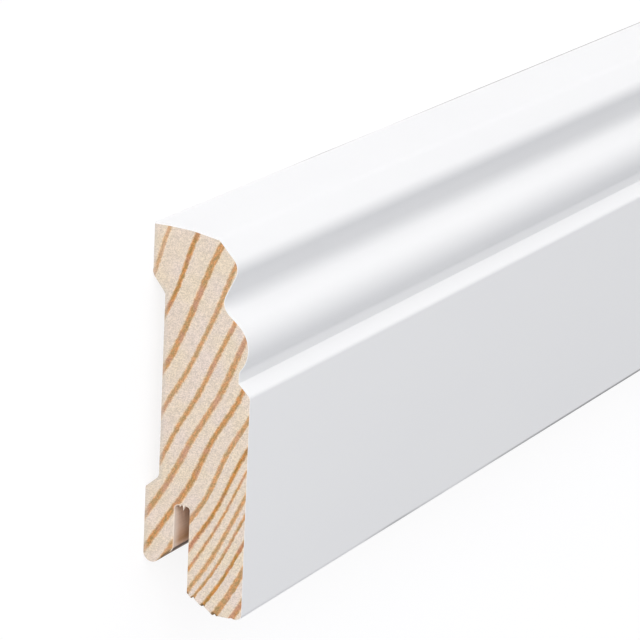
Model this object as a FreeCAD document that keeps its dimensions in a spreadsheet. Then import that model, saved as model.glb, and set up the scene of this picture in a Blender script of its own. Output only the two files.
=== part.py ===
import FreeCAD, Part
import math
import os
import Sketcher

# Skirting board length, moulded from one piece of pine.
# It lies on its back as it is stored: X runs along the board, Y from its foot to its
# top edge, and Z from the wall side to the front face. The origin is under its middle.
# In every sketch the first coordinate is Y and the second is Z.

# Sizes in millimetres and degrees. The mouldings hang from the top edge and the front
# face, one below the other. The slot and the feet stand on the bottom edge and the wall side.
sizes = {
    "board_length": (2400.0, "one sawn length as it is sold"),
    "board_height": (70.0, "foot to top edge"),
    "board_thickness": (20.0, "wall side to front face"),
    "crown_flat": (3.0, "level part of the top, beside the wall"),
    "crown_radius": (40.0, "slow fall of the top towards the front"),
    "shoulder_slope": (46.5, "bevel between the top and the nose"),
    "shoulder_radius": (2.3, "rounding between the top and the bevel"),
    "nose_drop": (6.4, "top edge to the centre of the nose"),
    "nose_setback": (3.4, "front face to the crest of the nose"),
    "nose_radius": (2.8, "upper round of the moulding"),
    "nose_underslope": (64.0, "slope from the nose down into the cove"),
    "cove_depth": (5.7, "front face to the floor of the cove"),
    "cove_radius": (2.7, "hollow of the moulding"),
    "cove_runout": (39.5, "slope from the cove out to the bead"),
    "bead_setback": (0.7, "front face to the crest of the bead"),
    "bead_radius": (5.8, "lower round of the moulding"),
    "quirk_depth": (2.3, "front face to the wall of the quirk"),
    "quirk_radius": (1.4, "turn from the bead into the quirk"),
    "quirk_wall": (1.5, "straight part of the quirk's wall"),
    "ledge_slope": (44.0, "ledge between the quirk and the front face"),
    "ledge_radius": (1.0, "eased edge between the ledge and the front face"),
    "relief_depth": (2.5, "hollow in the wall side"),
    "relief_radius": (0.8, "inner corners of the hollow"),
    "lip_height": (9.3, "top edge to the end of the upper wall strip"),
    "lip_ramp": (39.0, "slope from the upper wall strip into the hollow"),
    "lip_radius": (2.5, "rounding at the end of the upper wall strip"),
    "leg_height": (21.6, "foot to the end of the lower wall strip"),
    "leg_ramp": (49.0, "slope from the lower wall strip into the hollow"),
    "leg_top_radius": (0.5, "rounding at the end of the lower wall strip"),
    "leg_thickness": (6.0, "wall side to the clip slot"),
    "leg_clearance": (10.8, "foot to the leg's edge beside the slot"),
    "leg_bevel": (39.5, "slope of the leg's underside"),
    "leg_radius": (1.7, "rounding of the leg's two lower edges"),
    "slot_width": (3.0, "clip slot between the leg and the foot"),
    "slot_height": (19.2, "foot to the closed end of the slot"),
    "slot_radius": (0.7, "corners of the closed end of the slot"),
    "foot_width": (5.0, "flat that stands on the floor, to the front face"),
    "foot_bevel": (28.0, "slope from the flat up to the slot"),
    "foot_radius": (1.1, "eased lower front edge"),
    "overrun": (5.0, "how far each cut runs out past the board"),
}

os.makedirs("parts", exist_ok=True)
document = FreeCAD.newDocument("SkirtingBoard")


def fill_sheet():
    """Put every size in a named cell, so that the board can be changed there."""
    table = document.addObject("Spreadsheet::Sheet", "Sizes")
    for row, (name, (value, note)) in enumerate(sizes.items(), start=1):
        table.set(f"A{row}", name)
        table.set(f"B{row}", str(value))
        table.setAlias(f"B{row}", name)
        table.set(f"C{row}", note)
    document.recompute()
    return table


sheet = fill_sheet()


def cell(name):
    """The number that a named cell holds."""
    return float(sheet.get(name))


def section_sketch(body, name):
    """An empty sketch across the board, halfway along its length."""
    sketch = body.newObject("Sketcher::SketchObject", name)
    plane = next(item for item in body.Origin.OriginFeatures if item.Role == "YZ_Plane")
    sketch.AttachmentSupport = (plane, [""])
    sketch.MapMode = "FlatFace"
    return sketch


def bind(sketch, expression, kind, *references):
    """Add a dimension that follows the cells, starting from the value they give now."""
    value = float(sketch.evalExpression(expression))
    if kind == "Angle":
        value = math.radians(value)
        expression = f"({expression}) * 1 deg"
    index = sketch.addConstraint(Sketcher.Constraint(kind, *references, value))
    sketch.setExpression(f"Constraints[{index}]", expression)


def join(sketch, kind, *references):
    """Add a constraint that has no dimension."""
    sketch.addConstraint(Sketcher.Constraint(kind, *references))


def add_line(sketch, start, end):
    return sketch.addGeometry(Part.LineSegment(start, end), False)


def add_arc(sketch, centre, radius, start_degrees, end_degrees):
    circle = Part.Circle(centre, FreeCAD.Vector(0, 0, 1), radius)
    span = (math.radians(start_degrees), math.radians(end_degrees))
    return sketch.addGeometry(Part.ArcOfCircle(circle, *span), False)


def on_circle(centre, radius, degrees):
    """The point of a circle that lies in the given direction from its centre."""
    turn = math.radians(degrees)
    return centre + FreeCAD.Vector(math.cos(turn), math.sin(turn), 0) * radius


def centre_along_slope(start, reach, facing, depth):
    """Centre at the given depth of the round or hollow at the far end of a slope.

    reach is how far it lies from the first centre across the slope, and facing is the
    direction that the slope looks in.
    """
    turn = math.radians(facing)
    across = reach - math.sin(turn) * (depth - start.y)
    return FreeCAD.Vector(start.x + across / math.cos(turn), depth, 0)


def draw_moulded_section(body):
    """The board's outline seen on its end, with the mouldings of the front face.

    It runs up the wall side, over the top and down the front face. Returns the sketch,
    and the two corners of the front that are rounded afterwards.
    """
    sketch = section_sketch(body, "MouldedSection")
    top = cell("board_height") / 2
    front = cell("board_thickness")
    bottom = -top
    wall_depth = front - cell("quirk_depth")

    # The directions that the slopes look in: 0 is up from the top edge, 90 is the room.
    bevel_facing = cell("shoulder_slope")
    underslope_facing = 180.0 - cell("nose_underslope")
    runout_facing = cell("cove_runout")

    crown_radius = cell("crown_radius")
    nose_radius = cell("nose_radius")
    cove_radius = cell("cove_radius")
    bead_radius = cell("bead_radius")
    quirk_radius = cell("quirk_radius")

    # Centres of the rounds and hollows, each found from the one above it.
    crown = FreeCAD.Vector(top - crown_radius, cell("crown_flat"), 0)
    nose = FreeCAD.Vector(top - cell("nose_drop"), front - cell("nose_setback") - nose_radius, 0)
    cove_floor = front - cell("cove_depth") + cove_radius
    cove = centre_along_slope(nose, nose_radius + cove_radius, underslope_facing, cove_floor)
    bead_heart = front - cell("bead_setback") - bead_radius
    bead = centre_along_slope(cove, -cove_radius - bead_radius, runout_facing, bead_heart)
    quirk_heart = wall_depth + quirk_radius
    quirk_fall = math.sqrt((bead_radius + quirk_radius) ** 2 - (quirk_heart - bead.y) ** 2)
    quirk = FreeCAD.Vector(bead.x - quirk_fall, quirk_heart, 0)

    # The bevel touches the nose and cuts the crown off where the two meet.
    bevel_normal = on_circle(FreeCAD.Vector(), 1.0, bevel_facing)
    bevel_reach = nose_radius + (nose - crown).dot(bevel_normal)
    crown_end = bevel_facing - math.degrees(math.acos(bevel_reach / crown_radius))
    bead_end = math.degrees(math.atan2(quirk.y - bead.y, quirk.x - bead.x))

    shoulder = on_circle(crown, crown_radius, crown_end)
    wall_start = on_circle(quirk, quirk_radius, 270)
    wall_end = wall_start - FreeCAD.Vector(cell("quirk_wall"), 0, 0)
    ledge_fall = cell("quirk_depth") * math.tan(math.radians(cell("ledge_slope")))
    ledge_edge = FreeCAD.Vector(wall_end.x - ledge_fall, front, 0)

    back_line = add_line(sketch, FreeCAD.Vector(bottom, 0, 0), FreeCAD.Vector(top, 0, 0))
    top_line = add_line(sketch, FreeCAD.Vector(top, 0, 0), on_circle(crown, crown_radius, 0))
    crown_arc = add_arc(sketch, crown, crown_radius, 0, crown_end)
    bevel_line = add_line(sketch, shoulder, on_circle(nose, nose_radius, bevel_facing))
    nose_arc = add_arc(sketch, nose, nose_radius, bevel_facing, underslope_facing)
    underslope = add_line(
        sketch,
        on_circle(nose, nose_radius, underslope_facing),
        on_circle(cove, -cove_radius, underslope_facing),
    )
    cove_arc = add_arc(sketch, cove, cove_radius, runout_facing + 180, underslope_facing + 180)
    runout = add_line(
        sketch,
        on_circle(cove, -cove_radius, runout_facing),
        on_circle(bead, bead_radius, runout_facing),
    )
    bead_arc = add_arc(sketch, bead, bead_radius, runout_facing, bead_end)
    quirk_arc = add_arc(sketch, quirk, quirk_radius, 270, bead_end + 180)
    wall_line = add_line(sketch, wall_start, wall_end)
    ledge_line = add_line(sketch, wall_end, ledge_edge)
    face_line = add_line(sketch, ledge_edge, FreeCAD.Vector(bottom, front, 0))
    base_line = add_line(sketch, FreeCAD.Vector(bottom, front, 0), FreeCAD.Vector(bottom, 0, 0))

    # 1 is the start of a line or arc, 2 its end, and 3 the centre of an arc.
    sharp_corners = [
        (base_line, 2, back_line, 1),
        (back_line, 2, top_line, 1),
        (crown_arc, 2, bevel_line, 1),
        (wall_line, 2, ledge_line, 1),
        (ledge_line, 2, face_line, 1),
        (face_line, 2, base_line, 1),
    ]
    smooth_joints = [
        (top_line, 2, crown_arc, 1),
        (bevel_line, 2, nose_arc, 1),
        (nose_arc, 2, underslope, 1),
        (underslope, 2, cove_arc, 2),
        (cove_arc, 1, runout, 1),
        (runout, 2, bead_arc, 1),
        (bead_arc, 2, quirk_arc, 2),
        (quirk_arc, 1, wall_line, 1),
    ]
    for corner in sharp_corners:
        join(sketch, "Coincident", *corner)
    for joint in smooth_joints:
        join(sketch, "Tangent", *joint)
    for level in (back_line, wall_line, face_line):
        join(sketch, "Horizontal", level)
    for upright in (top_line, base_line):
        join(sketch, "Vertical", upright)

    x_axis = -1
    join(sketch, "PointOnObject", back_line, 1, x_axis)
    bind(sketch, "-Sizes.board_height / 2", "DistanceX", back_line, 1)
    bind(sketch, "Sizes.board_height / 2", "DistanceX", back_line, 2)
    bind(sketch, "Sizes.board_thickness", "DistanceY", face_line, 1)
    bind(sketch, "Sizes.crown_flat", "DistanceY", top_line, 2)
    bind(sketch, "Sizes.crown_radius", "Radius", crown_arc)
    bind(sketch, "90 + Sizes.shoulder_slope", "Angle", bevel_line)
    bind(sketch, "Sizes.board_height / 2 - Sizes.nose_drop", "DistanceX", nose_arc, 3)
    bind(
        sketch,
        "Sizes.board_thickness - Sizes.nose_setback - Sizes.nose_radius",
        "DistanceY", nose_arc, 3,
    )
    bind(sketch, "Sizes.nose_radius", "Radius", nose_arc)
    bind(sketch, "270 - Sizes.nose_underslope", "Angle", underslope)
    bind(
        sketch,
        "Sizes.board_thickness - Sizes.cove_depth + Sizes.cove_radius",
        "DistanceY", cove_arc, 3,
    )
    bind(sketch, "Sizes.cove_radius", "Radius", cove_arc)
    bind(sketch, "90 + Sizes.cove_runout", "Angle", runout)
    bind(
        sketch,
        "Sizes.board_thickness - Sizes.bead_setback - Sizes.bead_radius",
        "DistanceY", bead_arc, 3,
    )
    bind(sketch, "Sizes.bead_radius", "Radius", bead_arc)
    bind(sketch, "Sizes.quirk_radius", "Radius", quirk_arc)
    bind(sketch, "Sizes.board_thickness - Sizes.quirk_depth", "DistanceY", wall_line, 2)
    bind(sketch, "Sizes.quirk_wall", "Distance", wall_line)
    bind(sketch, "90 + Sizes.ledge_slope", "Angle", ledge_line)
    document.recompute()
    return sketch, sketch.getPoint(crown_arc, 2), sketch.getPoint(ledge_line, 2)


# Corners of the cuts, as Y and Z worked out from the cells.
foot_level = "-Sizes.board_height / 2"
beyond_foot = f"{foot_level} - Sizes.overrun"
beyond_back = "-Sizes.overrun"
slot_front = "Sizes.leg_thickness + Sizes.slot_width"
foot_back = "Sizes.board_thickness - Sizes.foot_width"
leg_top = f"{foot_level} + Sizes.leg_height"
relief_bottom = f"{leg_top} + Sizes.relief_depth / tan(Sizes.leg_ramp)"
lip_end = "Sizes.board_height / 2 - Sizes.lip_height"
relief_top = f"{lip_end} - Sizes.relief_depth / tan(Sizes.lip_ramp)"
slot_end = f"{foot_level} + Sizes.slot_height"
leg_inner = f"{foot_level} + Sizes.leg_clearance"
leg_outer = f"{leg_inner} - Sizes.leg_thickness * tan(Sizes.leg_bevel)"
foot_inner = f"{foot_level} + ({foot_back} - ({slot_front})) * tan(Sizes.foot_bevel)"

back_relief = [
    (leg_top, "0"),
    (relief_bottom, "Sizes.relief_depth"),
    (relief_top, "Sizes.relief_depth"),
    (lip_end, "0"),
    (lip_end, beyond_back),
    (leg_top, beyond_back),
]
clip_slot = [
    (beyond_foot, "Sizes.leg_thickness"),
    (slot_end, "Sizes.leg_thickness"),
    (slot_end, slot_front),
    (beyond_foot, slot_front),
]
leg_undercut = [
    (beyond_foot, beyond_back),
    (leg_outer, beyond_back),
    (leg_outer, "0"),
    (leg_inner, "Sizes.leg_thickness"),
    (beyond_foot, "Sizes.leg_thickness"),
]
foot_undercut = [
    (beyond_foot, slot_front),
    (foot_inner, slot_front),
    (foot_level, foot_back),
    (beyond_foot, foot_back),
]


def spot(corner):
    """Where a corner lies now, as a point across the board."""
    return FreeCAD.Vector(*(float(sheet.evalExpression(value)) for value in corner), 0)


def cut_along_board(body, name, corners):
    """Plough the outline of the corners out of the board, from end to end."""
    sketch = section_sketch(body, f"{name}Outline")
    for corner, following in zip(corners, corners[1:] + corners[:1]):
        add_line(sketch, spot(corner), spot(following))
    for index, (across, deep) in enumerate(corners):
        join(sketch, "Coincident", index - 1 if index else len(corners) - 1, 2, index, 1)
        bind(sketch, across, "DistanceX", index, 1)
        bind(sketch, deep, "DistanceY", index, 1)
    volume_before = body.Shape.Volume
    cut = body.newObject("PartDesign::Pocket", name)
    cut.Profile = sketch
    cut.SideType = "Symmetric"
    cut.setExpression("Length", "Sizes.board_length + 2 * Sizes.overrun")
    document.recompute()
    if not body.Shape.Volume < volume_before:
        raise RuntimeError(f"{name} takes no wood away")


def round_long_edges(body, name, radius_cell, points):
    """Round the edges that run along the board through the points of its section."""
    base = body.Tip
    names = []
    for number, edge in enumerate(base.Shape.Edges, start=1):
        ends = [vertex.Point for vertex in edge.Vertexes]
        for point in points:
            seen = [math.hypot(end.y - point.x, end.z - point.y) for end in ends]
            if len(ends) == 2 and max(seen) < 0.001 and ends[0].x * ends[1].x < 0:
                names.append(f"Edge{number}")
    if len(names) != len(points):
        raise RuntimeError(f"{name} finds {len(names)} edges for {len(points)} corners")
    fillet = body.newObject("PartDesign::Fillet", name)
    fillet.Base = (base, names)
    fillet.setExpression("Radius", f"Sizes.{radius_cell}")
    document.recompute()


def make_board():
    """The board: one moulded length with its hollow back, clip slot, leg and foot."""
    body = document.addObject("PartDesign::Body", "skirting_board")
    body.Label = "skirting_board"
    body.Placement = FreeCAD.Placement()

    section, shoulder, ledge_edge = draw_moulded_section(body)
    length = body.newObject("PartDesign::Pad", "MouldedLength")
    length.Profile = section
    length.SideType = "Symmetric"
    length.setExpression("Length", "Sizes.board_length")
    document.recompute()

    cut_along_board(body, "BackRelief", back_relief)
    cut_along_board(body, "ClipSlot", clip_slot)
    cut_along_board(body, "LegUndercut", leg_undercut)
    cut_along_board(body, "FootUndercut", foot_undercut)

    foot_edge = (foot_level, "Sizes.board_thickness")
    slot_corners = [spot(clip_slot[1]), spot(clip_slot[2])]
    relief_corners = [spot(back_relief[1]), spot(back_relief[2])]
    leg_edges = [spot(leg_undercut[2]), spot(leg_undercut[3])]
    round_long_edges(body, "Shoulder", "shoulder_radius", [shoulder])
    round_long_edges(body, "LedgeEdge", "ledge_radius", [ledge_edge])
    round_long_edges(body, "FootEdge", "foot_radius", [spot(foot_edge)])
    round_long_edges(body, "LegEdges", "leg_radius", leg_edges)
    round_long_edges(body, "LegTop", "leg_top_radius", [spot(back_relief[0])])
    round_long_edges(body, "LipEnd", "lip_radius", [spot(back_relief[3])])
    round_long_edges(body, "SlotCorners", "slot_radius", slot_corners)
    round_long_edges(body, "ReliefCorners", "relief_radius", relief_corners)
    return body


def check_and_write(bodies):
    """Write each body to its own file, once the whole document is sound."""
    for item in document.Objects:
        if "Invalid" in item.State or "Error" in item.State:
            raise RuntimeError(f"{item.Label} did not build: {item.State}")
    for body in bodies:
        if body.Shape.isNull() or not body.Shape.isValid():
            raise RuntimeError(f"{body.Label} is not a sound solid")
    for body in bodies:
        body.Shape.exportStep(f"parts/{body.Label}.step")


board = make_board()
check_and_write([board])
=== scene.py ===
import math

import bpy
from mathutils import Matrix, Vector, noise


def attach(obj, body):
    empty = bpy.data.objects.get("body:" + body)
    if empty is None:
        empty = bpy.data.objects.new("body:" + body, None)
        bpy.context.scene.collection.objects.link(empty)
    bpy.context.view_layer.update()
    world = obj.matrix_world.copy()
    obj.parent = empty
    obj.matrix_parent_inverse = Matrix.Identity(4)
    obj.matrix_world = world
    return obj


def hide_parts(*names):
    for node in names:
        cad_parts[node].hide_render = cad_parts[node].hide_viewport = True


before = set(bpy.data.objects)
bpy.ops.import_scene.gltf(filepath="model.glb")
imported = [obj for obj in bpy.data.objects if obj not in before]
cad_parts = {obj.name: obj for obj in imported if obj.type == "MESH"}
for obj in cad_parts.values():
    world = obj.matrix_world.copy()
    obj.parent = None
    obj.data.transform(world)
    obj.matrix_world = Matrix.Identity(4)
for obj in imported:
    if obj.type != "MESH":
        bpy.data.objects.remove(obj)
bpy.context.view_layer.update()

mm = 0.001


def linearColour(code):  # sRGB hex to the linear colour that the nodes take
    parts = [int(code[i:i + 2], 16) / 255 for i in (1, 3, 5)]
    return tuple(c / 12.92 if c <= 0.04045 else ((c + 0.055) / 1.055) ** 2.4 for c in parts) + (1.0,)


def addNode(tree, kind, settings=None, links=None):  # a setting is the node's own or one of its sockets'
    node = tree.nodes.new(kind)
    for name, value in (settings or {}).items():
        if str(value).startswith("#"):
            value = linearColour(value)
        if isinstance(name, int) or name in node.inputs:
            node.inputs[name].default_value = value
        else:
            setattr(node, name, value)
    for name, source in (links or {}).items():
        tree.links.new(source, node.inputs[name])
    return node


def newMaterial(name):
    material = bpy.data.materials.new(name)
    material.use_nodes = True
    material.node_tree.nodes.clear()
    return material, material.node_tree


def startFresh():
    if bpy.context.mode != "OBJECT":
        bpy.ops.object.mode_set(mode="OBJECT")
    bpy.ops.object.select_all(action="DESELECT")


# The camera stands where the photograph was taken from, worked out from the board's own edges.
cameraPlace = {
    "position": (-1.7951, 0.2001, 0.3130),
    "right": (0.43638, 0.04408, 0.89868),
    "up": (0.21628, 0.96438, -0.15232),
    "back": (-0.87338, 0.26084, 0.41130),
    "lens": 222.78,  # mm on a 36 mm sensor
}

startFresh()
bpy.ops.object.camera_add(location=cameraPlace["position"])
camera = bpy.context.object
camera.name = "photoCamera"
turned = Matrix((cameraPlace["right"], cameraPlace["up"], cameraPlace["back"])).transposed()
camera.matrix_world = Matrix.Translation(cameraPlace["position"]) @ turned.to_4x4()
camera.data.lens = cameraPlace["lens"]
camera.data.sensor_width = 36
camera.data.clip_start = 0.01
camera.data.clip_end = 50
bpy.context.scene.camera = camera
print("camera placed")


# The board lies on its back: depth is counted up from the floor, height from the foot to the top edge.
board = {
    "length": 2400,
    "height": 70,
    "arcStep": 6,  # degrees between two edges of a rounded part
    "start": (0, 9.4585),  # depth and height where the drawing of the section begins
    # a run ("to", depth, height, parts) or a turn ("round", centre depth, centre height, degrees)
    "section": [
        ("to", 0, 21.3721, 1), ("round", 0.5, 21.3721, 49),  # back of the leg
        ("to", 2.2248, 23.534, 1), ("round", 1.7, 24.1378, -49),
        ("to", 2.5, 57.3295, 1), ("round", 1.7, 57.3295, -39),  # floor of the relief
        ("to", 0.5571, 60.012, 1), ("round", 2.5, 61.5853, 39),
        ("to", 0, 70, 1), ("to", 3, 70, 1),  # lip and flat of the top edge
        ("round", 3, 30, 13.0696), ("round", 11.5253, 66.7234, 33.4304),  # crown and shoulder
        ("to", 15.831, 65.5274, 1), ("round", 13.8, 63.6, 69.5),  # nose
        ("to", 14.5733, 58.7981, 1), ("round", 17, 57.6145, -76.5),  # cove
        ("to", 17.1893, 53.9594, 1), ("round", 13.5, 49.484, 89.4424),  # bead
        ("round", 19.1, 44.9585, -38.9424), ("to", 17.7, 43.4585, 1),  # quirk and its wall
        ("to", 19.6947, 41.5323, 1), ("round", 19, 40.8129, 46),  # ledge
        ("to", 20, 1.1, 1), ("round", 18.9, 1.1, 90),  # plain front face
        ("to", 15, 0, 14), ("to", 9, 3.1903, 34),  # foot and its bevel, in many parts for the torn grain
        ("to", 9, 18.5, 1), ("round", 8.3, 18.5, -90),  # slot
        ("to", 6.7, 19.2, 20), ("round", 6.7, 18.5, -90),
        ("to", 6, 11.6018, 1), ("round", 4.3, 11.6018, 50.5),  # leg, rounded into the slot
        ("to", 2.7813, 8.1467, 14), ("round", 1.7, 9.4585, 129.5),  # bevel under the leg
    ],
    "endSteps": [0.3, 0.4, 0.5, 0.7, 0.9, 1.2, 1.6, 2.4, 4, 8, 20, 60, 200],  # mm, from each sawn end inwards
    "filmThickness": 0.1,  # the lacquer with its primer, as the saw cut it
    "filmOnTop": 0.3,
    "filmOnFront": 0.05,
    "topRim": (31, 12.5),  # mm: the rim above this Y and below this depth is on the crowned top
    "frontRim": (6, 19.7),  # and below this Y and above this depth on the plain face
    "endFace": 100,  # square mm, more than any other face across the board has
}


def atPoint(depth, height, x):
    return Vector((x, height - board["height"] / 2, depth)) * mm


def drawSection(x):  # one point is pulled and spun round the section, as a pencil would go
    bpy.ops.mesh.primitive_plane_add(size=1 * mm, location=(0, 0, 0))
    bpy.ops.object.mode_set(mode="EDIT")
    bpy.ops.mesh.select_mode(type="VERT")
    bpy.ops.mesh.select_all(action="SELECT")
    bpy.ops.mesh.merge(type="CENTER")
    here = Vector(board["start"])
    bpy.ops.transform.translate(value=atPoint(here[0], here[1], x))
    for step in board["section"]:
        if step[0] == "to":
            stride = (Vector(step[1:3]) - here) / step[3]
            for n in range(step[3]):
                bpy.ops.mesh.extrude_region_move(
                    TRANSFORM_OT_translate={"value": (0, stride[1] * mm, stride[0] * mm)})
            here = Vector(step[1:3])
        else:
            centre, turn = Vector(step[1:3]), math.radians(step[3])
            parts = max(2, round(abs(step[3]) / board["arcStep"]))
            hub = atPoint(centre[0], centre[1], x)
            bpy.ops.mesh.spin(steps=parts, angle=-turn, center=hub, axis=(1, 0, 0))
            spoke = here - centre
            here = centre + Matrix.Rotation(-turn, 2) @ spoke
    bpy.ops.mesh.select_all(action="SELECT")
    bpy.ops.mesh.remove_doubles(threshold=0.03 * mm)  # closes the outline at its start
    return bpy.context.object


startFresh()
skirting = drawSection(-board["length"] / 2)
skirting.name = skirting.data.name = "skirting_length"
bpy.ops.mesh.edge_face_add()
strides = board["endSteps"] + [board["length"] / 2 - sum(board["endSteps"])]
for stride in strides + strides[::-1]:  # short strides by the sawn ends, long ones between them
    bpy.ops.mesh.extrude_region_move(TRANSFORM_OT_translate={"value": (stride * mm, 0, 0)})
bpy.ops.mesh.select_all(action="SELECT")
bpy.ops.mesh.normals_make_consistent(inside=False)
bpy.ops.mesh.select_mode(type="FACE")
bpy.ops.mesh.select_all(action="DESELECT")
bpy.ops.object.mode_set(mode="OBJECT")
for face in skirting.data.polygons:
    face.select = abs(face.normal.x) > 0.99 and face.area > board["endFace"] * mm * mm
bpy.ops.object.mode_set(mode="EDIT")
bpy.ops.mesh.inset(thickness=board["filmThickness"] * mm)  # both sawn ends get a rim for the cut film
bpy.ops.object.mode_set(mode="OBJECT")
topRim, frontRim = board["topRim"], board["frontRim"]
for v in skirting.data.vertices:
    if v.select and v.co.y > topRim[0] * mm and v.co.z < topRim[1] * mm:
        v.co.y -= (board["filmOnTop"] - board["filmThickness"]) * mm
    elif v.select and v.co.y < frontRim[0] * mm and v.co.z > frontRim[1] * mm:
        v.co.z += (board["filmThickness"] - board["filmOnFront"]) * mm
print("board drawn, pulled to its length and its ends rimmed")


# Growth rings, as the sawn end shows them: the pith lies outside the board, behind and above its top edge.
rings = {
    "pithHeight": 168.9,
    "pithDepth": -255.8,
    "bands": [  # mm from the pith to the middle of a dark band, the band's width, how dark it is
        (277.72, 0.82, 0.68), (283.16, 0.9, 0.95), (287.63, 1.1, 0.85), (291.44, 0.87, 0.8),
        (295.08, 0.86, 0.84), (298.27, 1.05, 0.82), (301.57, 1.0, 0.9), (305.12, 0.9, 0.82),
        (307.95, 0.8, 1.0), (309.88, 0.53, 0.9), (312.03, 0.8, 0.82), (313.66, 0.58, 0.9),
        (316.0, 0.75, 1.0), (318.79, 1.25, 0.85), (321.8, 1.1, 0.9)],
    "from": 273,  # the span of radii in the board
    "to": 325,
    "bends": [  # how the rings stray from true circles: waves per metre along, up and out, mm, phase
        ((5.2, -39.4, 232.6), 0.318, 1.097), ((-3.1, 120.2, 538.8), 0.072, 6.126),
        ((7.4, 424.8, -307.7), 0.087, 0.989), ((2.3, 362.3, 109.3), 0.111, 1.518),
        ((-4.6, -207.1, -156.7), 0.184, 2.813), ((5.2, 0, 0), 1.3, 0)],
    "tilt": 26.7,  # degrees that they lean outwards at the middle of the section
}


nearEnd = Vector((-board["length"] / 2, 0, 0)) * mm


def ringRadius(point):  # the same field that the pine materials draw
    away = point - atPoint(rings["pithDepth"], rings["pithHeight"], point.x / mm)
    radius = away.length / mm
    for waves, reach, phase in rings["bends"]:
        radius += reach * math.sin((point - nearEnd).dot(Vector(waves)) + phase)
    return radius


# Where the cutters left raw pine its fibres are torn: they swell from one dark band to the next and break off
# there.
torn = {
    "footBevel": ((9, 3.1903), (15, 0)),  # depth and height of its two ends
    "legBevel": ((2.7813, 8.1467), (5.3813, 10.29)),
    "swell": (0.42, 0.1),  # mm, on the foot's bevel and the leg's, beside a sawn end
    "calm": (0.35, 3),  # share of the swell that is left along the board, and mm over which it settles
    "nick": 0.2,  # mm deep at a dark band
    "nickWidth": 0.28,
    "footFlat": (15.1, 18.7),  # depths between which the foot's flat is rough
    "slotEnd": (6.6, 8.4, 19.19, 19.5),  # depths and heights of the slot's closed end
    "slotReach": 2.2,  # mm along the board until the slot's closed end runs clean
    "slotSplinters": [  # depth, half width, mm up into the wood or down as a hanging fibre
        (6.85, 0.09, 0.1), (7.05, 0.09, -0.4), (7.3, 0.12, 0.35), (7.5, 0.1, 0.2), (7.74, 0.12, -0.85),
        (8.1, 0.12, 0.1)],
}


def alongEdge(edge):  # where a raw edge starts, which way it runs, which way the wood lies and its length
    start, stop = (atPoint(spot[0], spot[1], 0) for spot in edge)
    run = (stop - start).normalized()
    return start, run, Vector((0, run.z, -run.y)), (stop - start).length


def tearGrain(mesh):
    edges = [alongEdge(torn[name]) + (swell,)
             for name, swell in zip(("footBevel", "legBevel"), torn["swell"])]
    middles = [band[0] for band in rings["bands"]]
    flatFrom, flatTo = torn["footFlat"]
    slotFrom, slotTo, slotLow, slotHigh = torn["slotEnd"]
    for v in mesh.vertices:
        radius = ringRadius(v.co)
        last = max(m for m in middles if m <= radius) if radius > middles[0] else middles[0] - 4
        following = min([m for m in middles if m > radius] + [middles[-1] + 4])
        share = (radius - last) / (following - last)
        nick = torn["nick"] * math.exp(-((radius - min((last, following), key=lambda m: abs(radius - m)))
                                         / torn["nickWidth"]) ** 2)
        x, height, depth = v.co.x / mm, v.co.y / mm + board["height"] / 2, v.co.z / mm
        fromEnd = board["length"] / 2 - abs(x)
        wander = noise.noise(Vector((x * 0.02, depth * 1.7, height * 1.7)))
        left, settles = torn["calm"]
        strength = left + (1 - left) * math.exp(-fromEnd / settles)
        for start, run, inwards, length, swell in edges:
            within = (v.co - start).dot(inwards) / mm
            reach = min((v.co - start).dot(run), length - (v.co - start).dot(run)) / mm
            if -0.01 < within < 0.3 and reach > 0.05:
                bulge = min(1, reach / 0.5) * swell * (0.9 + 0.5 * wander) * share ** 1.3
                v.co += inwards * ((nick * min(1, swell * 3) - bulge) * strength + 0.08 * wander) * mm
                v.co.y = max(v.co.y, -board["height"] / 2 * mm)
        if height < 0.3 and flatFrom < depth < flatTo:
            v.co.y += mm * (0.04 + 0.8 * nick + 0.08 * abs(noise.noise(Vector((x * 0.2, depth * 2.3, 3)))))
        elif slotLow < height < slotHigh and slotFrom < depth < slotTo and fromEnd < torn["slotReach"]:
            fade = (1 - fromEnd / torn["slotReach"]) ** 2
            for place, width, rise in torn["slotSplinters"]:
                v.co.y += mm * rise * fade * max(0, 1 - abs(depth - place) / width)


tearGrain(skirting.data)
print("raw edges torn")


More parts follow.
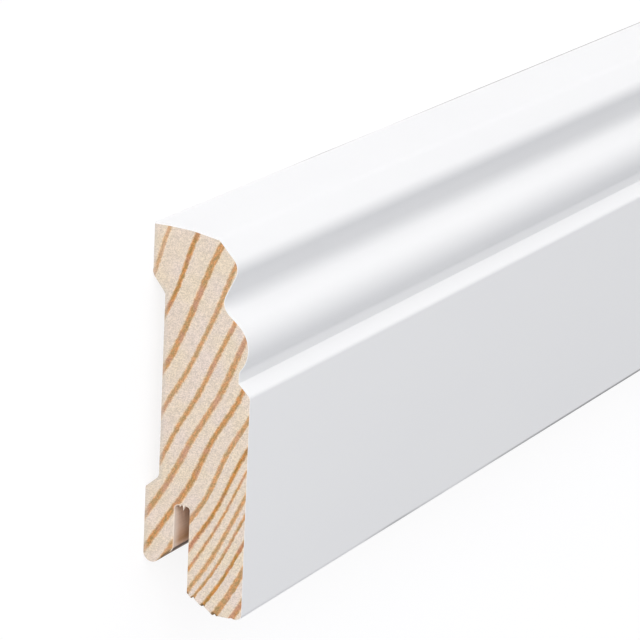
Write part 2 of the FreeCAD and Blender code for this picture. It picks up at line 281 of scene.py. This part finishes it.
def pineRings(tree):  # the same growth rings for every cut through the board, from Object coordinates
    place = addNode(tree, "ShaderNodeTexCoord").outputs["Object"]
    drawn = addNode(tree, "ShaderNodeMapping", {"Scale": (0.05, 1, 1)}, {"Vector": place}).outputs[0]
    fromPith = addNode(tree, "ShaderNodeMapping", {
        "Location": (0, -(rings["pithHeight"] - board["height"] / 2) * mm, -rings["pithDepth"] * mm),
        "Scale": (0, 1, 1)}, {"Vector": place}).outputs[0]
    radius = addNode(tree, "ShaderNodeVectorMath", {"operation": "LENGTH"}, {0: fromPith}).outputs["Value"]
    fromEnd = addNode(tree, "ShaderNodeVectorMath", {"operation": "SUBTRACT", 1: nearEnd},
                      {0: place}).outputs[0]
    for waves, reach, phase in rings["bends"]:
        angle = addNode(tree, "ShaderNodeVectorMath", {"operation": "DOT_PRODUCT", 1: waves}, {0: fromEnd})
        shifted = addNode(tree, "ShaderNodeMath", {"operation": "ADD", 1: phase}, {0: angle.outputs["Value"]})
        wave = addNode(tree, "ShaderNodeMath", {"operation": "SINE"}, {0: shifted.outputs[0]}).outputs[0]
        radius = addNode(tree, "ShaderNodeMath", {"operation": "MULTIPLY_ADD", 1: reach * mm},
                         {0: wave, 2: radius}).outputs[0]
    quick = addNode(tree, "ShaderNodeTexNoise", {"Scale": 1100, "Detail": 2},
                    {"Vector": drawn}).outputs["Fac"]
    rough = addNode(tree, "ShaderNodeMath", {"operation": "MULTIPLY_ADD", 1: 0.5 * mm}, {0: quick, 2: radius})
    low, high = rings["from"], rings["to"]
    added = 0.25  # mm, what the noise adds on average
    span = addNode(tree, "ShaderNodeMapRange", {
        "From Min": (low + added) * mm, "From Max": (high + added) * mm},
        {"Value": rough.outputs[0]}).outputs[0]
    return place, drawn, span


def ringBands(tree, span, fade):  # fade says over how many mm a band's inner and outer side run out
    low, high = rings["from"], rings["to"]
    inner, outer = fade[0] / 2, fade[1] / 2
    node = addNode(tree, "ShaderNodeFloatCurve", {}, {"Value": span})
    curve = node.mapping.curves[0]
    curve.points[0].location = (0, 0)
    curve.points[1].location = (1, 0)
    for middle, width, dark in rings["bands"]:
        for radius, height in ((-width / 2 - inner, 0), (-width / 2 + inner, dark),
                               (width / 2 - outer, dark), (width / 2 + outer, 0)):
            curve.points.new((middle + radius - low) / (high - low), height)
    for point in curve.points:
        point.handle_type = "VECTOR"
    node.mapping.update()
    return node.outputs[0]


def insideEdge(tree, place, edge):  # how far the wood lies inside a raw edge, in metres
    start, run, inwards, length = alongEdge(edge)
    reach = addNode(tree, "ShaderNodeVectorMath", {"operation": "DOT_PRODUCT", 1: inwards}, {0: place})
    return addNode(tree, "ShaderNodeMath", {"operation": "SUBTRACT", 1: start.dot(inwards)},
                   {0: reach.outputs["Value"]}).outputs[0]


# Sawn pine, cut across the grain: dull, cream between yellow-brown bands, speckled by the ends of its fibres.
sawnLook = {
    "early": ("#DDCEC3", "#DECFBA"),
    "late": ("#A27F45", "#C68443", "#B88264"),
    "edge": "#EFDABC",  # where one wood turns to the other
    "speck": ("#DDB581", "#86683F"),  # resin that catches the light, and torn fibres, in the dark bands
    # painted shade in the chips torn from the raw edges at the dark bands
    "nick": "#665238",
    "greyedBack": "#C4C0B8",  # greyer within a mm of the back, also at the floor of the relief
    "slotRimHighlight": "#EFE4D8",  # painted highlight along the slot's rim on the leg's side
    "fade": (0.3, 0.17),  # mm, inner and outer side of a dark band
    "fibre": 0.21,  # mm, about seven real fibres, which alone would be too fine to show
    "blotch": (0.35, 1.2),  # mm, across and along the rings
    "sawMark": (0.16, 1.1),  # mm, across and along the saw's marks
    "chipShadeEdges": [  # raw edge, mm that the painted shade of its chips reaches in, depth where the edge ends
        (torn["footBevel"], 0.5, 20), (torn["legBevel"], 0.45, 6)],
    "roughness": 0.78,
}


def sawnPine():
    material, tree = newMaterial("sawn_pine")
    place, drawn, span = pineRings(tree)
    band = ringBands(tree, span, sawnLook["fade"])
    patch = addNode(tree, "ShaderNodeTexNoise", {"Scale": 150, "Detail": 2}, {"Vector": place}).outputs["Fac"]
    hue = addNode(tree, "ShaderNodeTexNoise", {"Scale": 260, "Detail": 1}, {"Vector": place}).outputs["Fac"]
    fibres = addNode(tree, "ShaderNodeTexNoise", {
        "Scale": 1000 / sawnLook["fibre"], "Detail": 1, "Roughness": 0.6}, {"Vector": place}).outputs["Fac"]
    stretched = []
    for lean, (across, along) in ((rings["tilt"], sawnLook["blotch"]), (95, sawnLook["sawMark"])):
        turned = addNode(tree, "ShaderNodeMapping", {
            "vector_type": "TEXTURE", "Rotation": (math.radians(lean), 0, 0),
            "Scale": (1, along * mm, across * mm)}, {"Vector": place}).outputs[0]
        stretched.append(
            addNode(tree, "ShaderNodeTexNoise", {"Scale": 1, "Detail": 1}, {"Vector": turned}).outputs["Fac"])
    blotch, marks = stretched
    grain = fibres
    for noisy, share in ((marks, 0.45), (blotch, 0.3)):
        grain = addNode(tree, "ShaderNodeMath", {"operation": "MULTIPLY_ADD", 1: share},
                        {0: noisy, 2: grain}).outputs[0]

    slotEnd = addNode(tree, "ShaderNodeMapping", {"Location": -atPoint(7.5, 18.5, 0)},
                      {"Vector": place}).outputs[0]
    outside = addNode(tree, "ShaderNodeVectorMath", {"operation": "MULTIPLY", 1: (0, 1, -1)}, {0: slotEnd})
    outside = addNode(tree, "ShaderNodeVectorMath", {"operation": "MAXIMUM"},
                      {0: slotEnd, 1: outside.outputs[0]})
    for way, amount in (("SUBTRACT", (5, 0, 0.8 * mm)), ("MAXIMUM", (0, 0, 0))):
        outside = addNode(tree, "ShaderNodeVectorMath", {"operation": way, 1: amount},
                          {0: outside.outputs[0]})
    fromSlot = addNode(tree, "ShaderNodeVectorMath", {"operation": "LENGTH"}, {0: outside.outputs[0]})
    spot = addNode(tree, "ShaderNodeSeparateXYZ", {}, {"Vector": place}).outputs

    masks = {}
    for name, value, first, last, low, high in (  # a value's span spread over another, and held there
            ("patch", patch, 0.36, 0.64, 0, 1),
            ("blotch", blotch, 0.38, 0.62, 0, 1),
            ("hue", hue, 0.5, 0.66, 0, 1),
            ("light", fibres, 0.57, 0.75, 0, 0.28),
            ("dark", fibres, 0.43, 0.28, 0, 0.33),
            ("turning", band, 0, 0.15, 0, 0.7),
            ("grain", grain, 0.68, 1.07, 0.79, 1.11),
            ("slotRim", fromSlot.outputs["Value"], 0.93 * mm, 0.82 * mm, 0, 0.6),
            ("legSide", spot["Z"], 8.5 * mm, 7.9 * mm, 0, 1),
            ("aboveLeg", spot["Y"], -13.4 * mm, -11.4 * mm, 0, 2.5 * mm),  # the relief is 2.5 mm deep
            ("underLip", spot["Y"], 25 * mm, 23 * mm, 0, 1)):
        masks[name] = addNode(tree, "ShaderNodeMapRange", {
            "From Min": first, "From Max": last, "To Min": low, "To Max": high}, {"Value": value}).outputs[0]
    for name, one, other in (("slotRimHighlight", "slotRim", "legSide"), ("hollow", "aboveLeg", "underLip")):
        masks[name] = addNode(tree, "ShaderNodeMath", {"operation": "MULTIPLY"},
                              {0: masks[one], 1: masks[other]}).outputs[0]
    fromBack = addNode(tree, "ShaderNodeMath", {"operation": "SUBTRACT"}, {0: spot["Z"], 1: masks["hollow"]})
    masks["greyedBack"] = addNode(tree, "ShaderNodeMapRange", {
        "From Min": 0.9 * mm, "From Max": 0.3 * mm, "To Max": 0.4}, {"Value": fromBack.outputs[0]}).outputs[0]

    early = addNode(tree, "ShaderNodeMix", {
        "data_type": "RGBA", 6: sawnLook["early"][0], 7: sawnLook["early"][1]},
        {0: masks["patch"]}).outputs[2]
    late = addNode(tree, "ShaderNodeMix", {
        "data_type": "RGBA", 6: sawnLook["late"][0], 7: sawnLook["late"][1]}, {0: masks["blotch"]}).outputs[2]
    for name, colour in (("hue", sawnLook["late"][2]), ("light", sawnLook["speck"][0]),
                         ("dark", sawnLook["speck"][1])):
        late = addNode(tree, "ShaderNodeMix", {"data_type": "RGBA", 7: colour},
                       {0: masks[name], 6: late}).outputs[2]
    wood = addNode(tree, "ShaderNodeMix", {"data_type": "RGBA", 7: sawnLook["edge"]},
                   {0: masks["turning"], 6: early}).outputs[2]
    wood = addNode(tree, "ShaderNodeMix", {"data_type": "RGBA"}, {0: band, 6: wood, 7: late}).outputs[2]
    wood = addNode(tree, "ShaderNodeMix", {"data_type": "RGBA", "blend_type": "MULTIPLY", 0: 1.0},
                   {6: wood, 7: masks["grain"]}).outputs[2]
    for name in ("slotRimHighlight", "greyedBack"):
        wood = addNode(tree, "ShaderNodeMix", {"data_type": "RGBA", 7: sawnLook[name]},
                       {0: masks[name], 6: wood}).outputs[2]
    # painted shade where a dark band meets a raw edge, for the hollow of its chip
    for edge, reach, last in sawnLook["chipShadeEdges"]:
        chipShade = band
        for value, first, final in ((insideEdge(tree, place, edge), reach, reach * 0.3),
                                    (spot["Z"], last + 0.2, last)):
            near = addNode(tree, "ShaderNodeMapRange", {"From Min": first * mm, "From Max": final * mm},
                           {"Value": value}).outputs[0]
            chipShade = addNode(tree, "ShaderNodeMath", {"operation": "MULTIPLY"},
                             {0: chipShade, 1: near}).outputs[0]
        wood = addNode(tree, "ShaderNodeMix", {"data_type": "RGBA", 7: sawnLook["nick"]},
                       {0: chipShade, 6: wood}).outputs[2]
    bump = addNode(tree, "ShaderNodeBump", {"Strength": 0.35, "Distance": 0.12 * mm},
                   {"Height": grain}).outputs[0]
    shader = addNode(tree, "ShaderNodeBsdfPrincipled", {
        "Roughness": sawnLook["roughness"], "IOR": 1.45, "Specular IOR Level": 0.3},
        {"Base Color": wood, "Normal": bump}).outputs[0]
    addNode(tree, "ShaderNodeOutputMaterial", {}, {"Surface": shader})
    return material


# Planed pine, along the grain: the same rings run out as stripes, with fine streaks from cutter and fibres.
planedLook = {
    "early": ("#F6E0CF", "#F0D5C0"),
    "late": ("#D0A579", "#C89A70"),
    "legCornerShade": "#4B3C2F",  # painted shade, on the leg's rounded corner in the slot and along the bevel under the leg
    "legCornerShadeAt": (5.4, 10.3),  # depth and height
    "slotShade": "#93704F",  # painted shade in the slot, a little all along it, growing towards its closed end and from the sawn end inwards
    "slotLight": "#FFF6EC",  # painted light on the slot's walls just inside the sawn end
    "fade": (1.2, 0.4),
    "streak": (50, 0.24),  # mm, along and across the fibres
    "roughness": 0.6,
}


def planedPine():
    material, tree = newMaterial("planed_pine")
    place, drawn, span = pineRings(tree)
    band = ringBands(tree, span, planedLook["fade"])
    patch = addNode(tree, "ShaderNodeTexNoise", {"Scale": 60, "Detail": 2}, {"Vector": drawn}).outputs["Fac"]
    along, across = planedLook["streak"]
    stretched = addNode(tree, "ShaderNodeMapping", {"Scale": (across / along, 1, 1)},
                        {"Vector": place}).outputs[0]
    streaks = addNode(tree, "ShaderNodeTexNoise", {"Scale": 1000 / across, "Detail": 3, "Roughness": 0.6},
                      {"Vector": stretched}).outputs["Fac"]
    depth, height = planedLook["legCornerShadeAt"]
    away = addNode(tree, "ShaderNodeMapping", {"Location": -atPoint(depth, height, 0), "Scale": (0, 1, 1)},
                   {"Vector": place}).outputs[0]
    fromLegCornerShade = addNode(tree, "ShaderNodeVectorMath", {"operation": "LENGTH"}, {0: away}).outputs["Value"]
    fromEnd = addNode(tree, "ShaderNodeVectorMath", {"operation": "ABSOLUTE"}, {0: place}).outputs[0]
    fromEnd = addNode(tree, "ShaderNodeSeparateXYZ", {}, {"Vector": fromEnd}).outputs["X"]
    spot = addNode(tree, "ShaderNodeSeparateXYZ", {}, {"Vector": place}).outputs

    masks = {}
    for name, value, first, last, low, high in (
            ("streaks", streaks, 0.3, 0.7, 0.84, 1.08),
            ("corner", fromLegCornerShade, 1.0 * mm, 0.7 * mm, 0, 0.85),
            ("bevel", insideEdge(tree, place, torn["legBevel"]), 0.35 * mm, 0.15 * mm, 0, 1),
            ("leg", spot["Z"], 6.2 * mm, 5.8 * mm, 0, 0.6),
            ("pastLeg", spot["Z"], 5.9 * mm, 5.95 * mm, 0, 1),
            ("beforeFoot", spot["Z"], 9.1 * mm, 9.05 * mm, 0, 1),
            ("slotEnd", spot["Y"], -24 * mm, -16 * mm, 0, 0.42),
            ("inwards", fromEnd, 1199 * mm, 1194 * mm, 0, 1),
            ("sawnEnd", fromEnd, 1197.8 * mm, 1199.6 * mm, 0, 0.6)):
        masks[name] = addNode(tree, "ShaderNodeMapRange", {
            "From Min": first, "From Max": last, "To Min": low, "To Max": high}, {"Value": value}).outputs[0]
    for name, one, other in (("underLeg", "bevel", "leg"), ("slot", "pastLeg", "beforeFoot"),
                             ("slotShade", "slot", "slotEnd"), ("slotShade", "slotShade", "inwards"),
                             ("slotLight", "slot", "sawnEnd")):
        masks[name] = addNode(tree, "ShaderNodeMath", {"operation": "MULTIPLY"},
                              {0: masks[one], 1: masks[other]}).outputs[0]

    early, late = (
        addNode(tree, "ShaderNodeMix", {"data_type": "RGBA", 6: pair[0], 7: pair[1]}, {0: patch}).outputs[2]
        for pair in (planedLook["early"], planedLook["late"]))
    wood = addNode(tree, "ShaderNodeMix", {"data_type": "RGBA"}, {0: band, 6: early, 7: late}).outputs[2]
    wood = addNode(tree, "ShaderNodeMix", {"data_type": "RGBA", "blend_type": "MULTIPLY", 0: 1.0},
                   {6: wood, 7: masks["streaks"]}).outputs[2]
    # painted shade on the leg's corner, under the leg and deep in the slot, and painted light at the slot's
    # mouth
    for name, colour in (("corner", "legCornerShade"), ("underLeg", "legCornerShade"), ("slotShade", "slotShade"),
                         ("slotLight", "slotLight")):
        wood = addNode(tree, "ShaderNodeMix", {"data_type": "RGBA", 7: planedLook[colour]},
                       {0: masks[name], 6: wood}).outputs[2]
    bump = addNode(tree, "ShaderNodeBump", {"Strength": 0.3, "Distance": 0.1 * mm},
                   {"Height": streaks}).outputs[0]
    shader = addNode(tree, "ShaderNodeBsdfPrincipled", {
        "Roughness": planedLook["roughness"], "IOR": 1.45, "Specular IOR Level": 0.35},
        {"Base Color": wood, "Normal": bump}).outputs[0]
    addNode(tree, "ShaderNodeOutputMaterial", {}, {"Surface": shader})
    return material


# Sprayed white lacquer, rubbed to satin: opaque and even, a soft sheen, only a trace of orange peel. Grey is
# painted on as shade along its two sharpest arrises, stronger and weaker in patches and waves along the
# board.
lacquerLook = {
    "white": "#F2F2F2",
    "clouded": "#EFEFF0",
    # painted shade on the two sharpest arrises
    "arrisShade": "#8F8F8E",
    "peel": 2.5,  # mm between the film's low swells
    "roughness": (0.38, 0.46),
    "shadedFoot": 1.15,  # mm up the foot's rounded front edge that gets the painted shade
    "shadedBack": 0.45,  # mm in from the back of the top edge that gets the painted shade
    "shadePatch": 40,  # mm between where the painted shade on the arrises is stronger and weaker
    "shadeWave": 480,  # mm over which the painted shade on the arrises grows and fades along the board
}


def whiteLacquer():
    material, tree = newMaterial("white_lacquer")
    place = addNode(tree, "ShaderNodeTexCoord").outputs["Object"]
    drawn = addNode(tree, "ShaderNodeMapping", {"Scale": (0.3, 1, 1)}, {"Vector": place}).outputs[0]
    cloud = addNode(tree, "ShaderNodeTexNoise", {"Scale": 45, "Detail": 2}, {"Vector": drawn}).outputs["Fac"]
    peel = addNode(tree, "ShaderNodeTexNoise", {"Scale": 1000 / lacquerLook["peel"], "Detail": 1},
                   {"Vector": drawn}).outputs["Fac"]
    spot = addNode(tree, "ShaderNodeSeparateXYZ", {}, {"Vector": place}).outputs
    patch = addNode(tree, "ShaderNodeTexNoise", {
        "noise_dimensions": "1D", "Scale": 1000 / lacquerLook["shadePatch"], "Detail": 2},
        {"W": spot["X"]}).outputs["Fac"]
    # a wave and noise along the board set how strong the painted shade on the arrises is
    turn = 2 * math.pi * 1000 / lacquerLook["shadeWave"]
    angle = addNode(tree, "ShaderNodeMath", {
        "operation": "MULTIPLY_ADD", 1: turn, 2: 1.2 * turn - math.pi / 2}, {0: spot["X"]}).outputs[0]
    swell = addNode(tree, "ShaderNodeMath", {"operation": "SINE"}, {0: angle}).outputs[0]
    uneven = addNode(tree, "ShaderNodeMath", {"operation": "MULTIPLY_ADD", 1: 2.0},
                     {0: patch, 2: swell}).outputs[0]
    foot, shadedFoot, shadedBack = -board["height"] / 2, lacquerLook["shadedFoot"], lacquerLook["shadedBack"]
    masks = {}
    for name, value, first, last, low, high in (
            ("atFoot", spot["Y"], (foot + shadedFoot) * mm, (foot + shadedFoot * 0.6) * mm, 0, 1),
            ("atBack", spot["Z"], shadedBack * mm, shadedBack * 0.5 * mm, 0, 0.7),
            ("uneven", uneven, 0.2, 1.5, 0, 1),
            ("sheen", cloud, 0, 1, lacquerLook["roughness"][0], lacquerLook["roughness"][1])):
        masks[name] = addNode(tree, "ShaderNodeMapRange", {
            "From Min": first, "From Max": last, "To Min": low, "To Max": high}, {"Value": value}).outputs[0]
    onArris = addNode(tree, "ShaderNodeMath", {"operation": "MAXIMUM"},
                   {0: masks["atFoot"], 1: masks["atBack"]}).outputs[0]
    arrisShadeShows = addNode(tree, "ShaderNodeMath", {"operation": "MULTIPLY"},
                    {0: onArris, 1: masks["uneven"]}).outputs[0]
    colour = addNode(tree, "ShaderNodeMix", {
        "data_type": "RGBA", 6: lacquerLook["white"], 7: lacquerLook["clouded"]}, {0: cloud}).outputs[2]
    colour = addNode(tree, "ShaderNodeMix", {"data_type": "RGBA", 7: lacquerLook["arrisShade"]},
                     {0: arrisShadeShows, 6: colour}).outputs[2]
    bump = addNode(tree, "ShaderNodeBump", {"Strength": 0.06, "Distance": 0.05 * mm},
                   {"Height": peel}).outputs[0]
    shader = addNode(tree, "ShaderNodeBsdfPrincipled", {"IOR": 1.48},
                     {"Base Color": colour, "Roughness": masks["sheen"], "Normal": bump}).outputs[0]
    addNode(tree, "ShaderNodeOutputMaterial", {}, {"Surface": shader})
    return material


for material in (whiteLacquer(), planedPine(), sawnPine()):
    skirting.data.materials.append(material)
print("lacquer, planed pine and sawn pine mixed")


lacquered = {
    "top": 69.9,  # height above which all is lacquered
    "moulding": (2.6, 40),  # and the depth and height beyond which the moulding is
    "front": 18.95,  # and the depth beyond which the plain face and the foot's front corner are
}


def isLacquered(depth, height):
    pastBack, aboveFace = lacquered["moulding"]
    onMoulding = depth > pastBack and height > aboveFace
    return height > lacquered["top"] or onMoulding or depth > lacquered["front"]


for face in skirting.data.polygons:
    depth, height = face.center.z / mm, face.center.y / mm + board["height"] / 2
    atEnd = abs(face.normal.x) > 0.9
    if atEnd and face.area > board["endFace"] * mm * mm:
        face.material_index = 2
    elif atEnd:  # the rim beside the outline: film where the outline is lacquered
        rim = [skirting.data.vertices[v].co for v in face.vertices]
        outermost = max(c.z for c in rim) / mm
        topmost = max(c.y for c in rim) / mm + board["height"] / 2
        filmed = isLacquered(outermost, height) or isLacquered(depth, topmost)
        face.material_index = 0 if filmed else 2
    else:
        face.material_index = 0 if isLacquered(depth, height) else 1
bpy.ops.object.select_all(action="DESELECT")
skirting.select_set(True)
bpy.context.view_layer.objects.active = skirting
bpy.ops.object.shade_smooth_by_angle(angle=math.radians(28))
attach(skirting, "root")
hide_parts("skirting_board")
print("board finished")


# A plain white floor. The camera and glossy surfaces see it lifted to white, and the shadow stays on it.
floorLook = {
    "size": 14,
    "white": "#E9E9EA",
    "seen": "#7C7C7E",  # what the light and the shadow fall on, for the camera
    "lift": 0.84,
}

startFresh()
bpy.ops.mesh.primitive_plane_add(size=floorLook["size"], location=(0, 0, -0.02 * mm))
floor = bpy.context.object
floor.name = "studio_floor"
material, tree = newMaterial("floor_white")
path = addNode(tree, "ShaderNodeLightPath")
seen = addNode(tree, "ShaderNodeMath", {"operation": "MAXIMUM"},
               {0: path.outputs["Is Camera Ray"], 1: path.outputs["Is Glossy Ray"]}).outputs[0]
plain = addNode(tree, "ShaderNodeBsdfDiffuse", {"Color": floorLook["white"]}).outputs[0]
shaded = addNode(tree, "ShaderNodeBsdfDiffuse", {"Color": floorLook["seen"]}).outputs[0]
lift = addNode(tree, "ShaderNodeEmission", {"Strength": floorLook["lift"]}).outputs[0]
lifted = addNode(tree, "ShaderNodeAddShader", {}, {0: shaded, 1: lift}).outputs[0]
surface = addNode(tree, "ShaderNodeMixShader", {}, {0: seen, 1: plain, 2: lifted}).outputs[0]
addNode(tree, "ShaderNodeOutputMaterial", {}, {"Surface": surface})
floor.data.materials.append(material)


# Soft studio light: an even room, a wide key lamp above the near end, a weak one from the far side for the
# sheen on the top edge, and a soft box close to the near end, whose light falls off along the board.
studio = {
    "room": 0.576,
    "roomColour": "#F8FAFF",
    "lamps": [  # name, direction to it, level, spread in degrees
        ("keyLamp", (-0.75, 0.60, 0.28), 0.69, 60),
        ("farLamp", (0.70, 0.60, 0.32), 0.16, 60),
    ],
    "lampColour": "#FFFDFA",
    "softBox": {"place": (-1.75, 0.08, 0.30), "aim": (-1.2, 0, 0.01), "size": 0.4, "watts": 0.4},
}

scene = bpy.context.scene
world = bpy.data.worlds.new("studio_room")
scene.world = world
world.use_nodes = True
tree = world.node_tree
tree.nodes.clear()
path = addNode(tree, "ShaderNodeLightPath")
seen = addNode(tree, "ShaderNodeMath", {"operation": "MAXIMUM"},
               {0: path.outputs["Is Camera Ray"], 1: path.outputs["Is Transmission Ray"]}).outputs[0]
room = addNode(tree, "ShaderNodeBackground",
               {"Color": studio["roomColour"], "Strength": studio["room"]}).outputs[0]
white = addNode(tree, "ShaderNodeBackground", {"Color": (1, 1, 1, 1), "Strength": 1}).outputs[0]
mixed = addNode(tree, "ShaderNodeMixShader", {}, {0: seen, 1: room, 2: white}).outputs[0]
addNode(tree, "ShaderNodeOutputWorld", {}, {"Surface": mixed})
for name, towards, level, spread in studio["lamps"]:
    bpy.ops.object.light_add(type="SUN", location=Vector(towards) * 2)
    lamp = bpy.context.object
    lamp.name = name
    lamp.rotation_euler = Vector(towards).to_track_quat("Z", "Y").to_euler()
    lamp.data.energy = level * math.pi
    lamp.data.angle = math.radians(spread)
    lamp.data.color = linearColour(studio["lampColour"])[:3]
bpy.ops.object.light_add(type="AREA", location=studio["softBox"]["place"])
lamp = bpy.context.object
lamp.name = "softBox"
away = Vector(studio["softBox"]["place"]) - Vector(studio["softBox"]["aim"])
lamp.rotation_euler = away.to_track_quat("Z", "Y").to_euler()
lamp.data.size = studio["softBox"]["size"]
lamp.data.energy = studio["softBox"]["watts"]
scene.view_settings.view_transform = "Standard"
print("floor and lights set")
